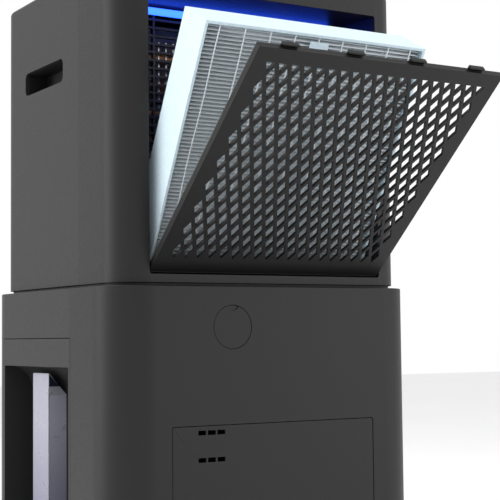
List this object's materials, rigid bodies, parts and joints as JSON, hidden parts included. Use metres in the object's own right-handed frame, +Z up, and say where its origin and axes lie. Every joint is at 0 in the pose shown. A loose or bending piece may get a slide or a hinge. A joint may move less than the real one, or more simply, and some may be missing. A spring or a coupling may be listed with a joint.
{
  "type": "air purifier",
  "caption": "Two-tier dehumidifying air purifier tower with a tilt-out perforated rear filter door, pleated filter, side water tank with sight column and rear drain port.",
  "frame": {"origin": "bottom centre of the closed casing's box in X, on the plane under the feet, midway between the casing's front and rear faces", "axes": "+Z up, rear filter door towards +Y, front towards -Y, tank side towards +X"},
  "size_m": [0.34, 0.4804, 0.6482],
  "materials": {
    "shell": "charcoal, fine satin texture",
    "rear_shell": "charcoal black, fine satin texture",
    "black_plastic": "black, satin",
    "door_plastic": "black, satin",
    "bay_plastic": "dark blue-black, satin",
    "inner_plastic": "grey, moulded",
    "clear_plastic": "frosted clear",
    "rubber": "matt",
    "board": "white filter board",
    "pleat": "white filter paper",
    "glue": "hot glue, off-white",
    "steel": "zinc plated",
    "compressor_paint": "black enamel",
    "copper": "bare copper tube",
    "fins": "thin sheet",
    "lamp_glass": "lamp tube, blue",
    "lens": "smoked display lens",
    "button_plastic": "soft touch grey"
  },
  "bodies": {
    "casing": {"lower_front_shell": "shell", "lower_rear_shell": "rear_shell", "service_panel": "rear_shell", "service_screws": "steel", "cord_gland": "rubber", "upper_front_shell": "shell", "upper_rear_shell": "rear_shell", "base_pan": "black_plastic", "neck_plate": "black_plastic", "upper_floor": "black_plastic", "feet": "rubber", "drain_cup": "black_plastic", "drain_spout": "black_plastic", "control_box": "inner_plastic", "filter_bay": "bay_plastic", "inner_grille": "bay_plastic", "evaporator_fins": "fins", "evaporator_tubes": "copper", "condenser_fins": "fins", "condenser_tubes": "copper", "drip_tray": "inner_plastic", "fan_scroll": "inner_plastic", "fan_motor": "steel", "compressor": "compressor_paint", "compressor_mounts": "rubber", "refrigerant_pipes": "copper", "uv_lamp": "lamp_glass", "lamp_holders": "bay_plastic", "tank_rails": "inner_plastic", "tank_bay_divider": "inner_plastic", "tank_bay_roof": "inner_plastic", "hand_cup_tank": "black_plastic", "hand_cup_far": "black_plastic", "outlet_grille": "black_plastic", "flap_bearings": "black_plastic", "control_panel": "lens", "display_lens": "lens", "control_board": "inner_plastic"},
    "door": {"door_panel": "door_plastic", "door_frame": "door_plastic", "door_hooks": "door_plastic", "door_pins": "steel"},
    "filter": {"filter_frame": "board", "filter_pleats": "pleat", "filter_beads": "glue", "filter_tab": "board", "filter_pins": "board"},
    "tank": {"tank_fascia": "shell", "sight_column": "clear_plastic", "tank_bucket": "clear_plastic", "tank_lid": "clear_plastic"},
    "float": {"tank_float": "button_plastic"},
    "drain_plug": {"drain_cover": "rear_shell"},
    "flap": {"outlet_louvre": "shell"},
    "fan": {"fan_impeller": "black_plastic", "fan_shaft": "steel"},
    "power_key": {"button_power": "button_plastic"},
    "mode_key": {"button_mode": "button_plastic"},
    "speed_key": {"button_speed": "button_plastic"},
    "timer_key": {"button_timer": "button_plastic"}
  },
  "joints": [
    {"name": "door_tilt", "type": "hinge", "parent": "casing", "child": "door", "pos_m": [0, 0.135, 0.365], "axis": [1, 0, 0], "range_deg": [0, 48.5]},
    {"name": "filter_tilt", "type": "hinge", "parent": "casing", "child": "filter", "pos_m": [0, 0.116, 0.367], "axis": [1, 0, 0], "range_deg": [0, 28.41]},
    {"name": "tank_slide", "type": "slide", "parent": "casing", "child": "tank", "axis": [1, 0, 0], "range_m": [0, 0.24]},
    {"name": "float_lift", "type": "slide", "parent": "tank", "child": "float", "axis": [0, 0, 1], "range_m": [0, 0.008]},
    {"name": "drain_pull", "type": "slide", "parent": "casing", "child": "drain_plug", "axis": [0, 1, 0], "range_m": [0, 0.03]},
    {"name": "flap_tilt", "type": "hinge", "parent": "casing", "child": "flap", "pos_m": [0, 0.002, 0.6428], "axis": [-1, 0, 0], "range_deg": [0, 75]},
    {"name": "fan_spin", "type": "hinge", "parent": "casing", "child": "fan", "pos_m": [0, -0.06, 0.469], "axis": [0, 1, 0], "continuous": true},
    {"name": "power_press", "type": "slide", "parent": "casing", "child": "power_key", "axis": [0, 0, -1], "range_m": [0, 0.0012], "stiffness_N_per_m": 300},
    {"name": "mode_press", "type": "slide", "parent": "casing", "child": "mode_key", "axis": [0, 0, -1], "range_m": [0, 0.0012], "stiffness_N_per_m": 300},
    {"name": "speed_press", "type": "slide", "parent": "casing", "child": "speed_key", "axis": [0, 0, -1], "range_m": [0, 0.0012], "stiffness_N_per_m": 300},
    {"name": "timer_press", "type": "slide", "parent": "casing", "child": "timer_key", "axis": [0, 0, -1], "range_m": [0, 0.0012], "stiffness_N_per_m": 300}
  ],
  "couplings": [
    {"joint": "filter_tilt", "follows": "door_tilt", "ratio": 0.58557}
  ]
}
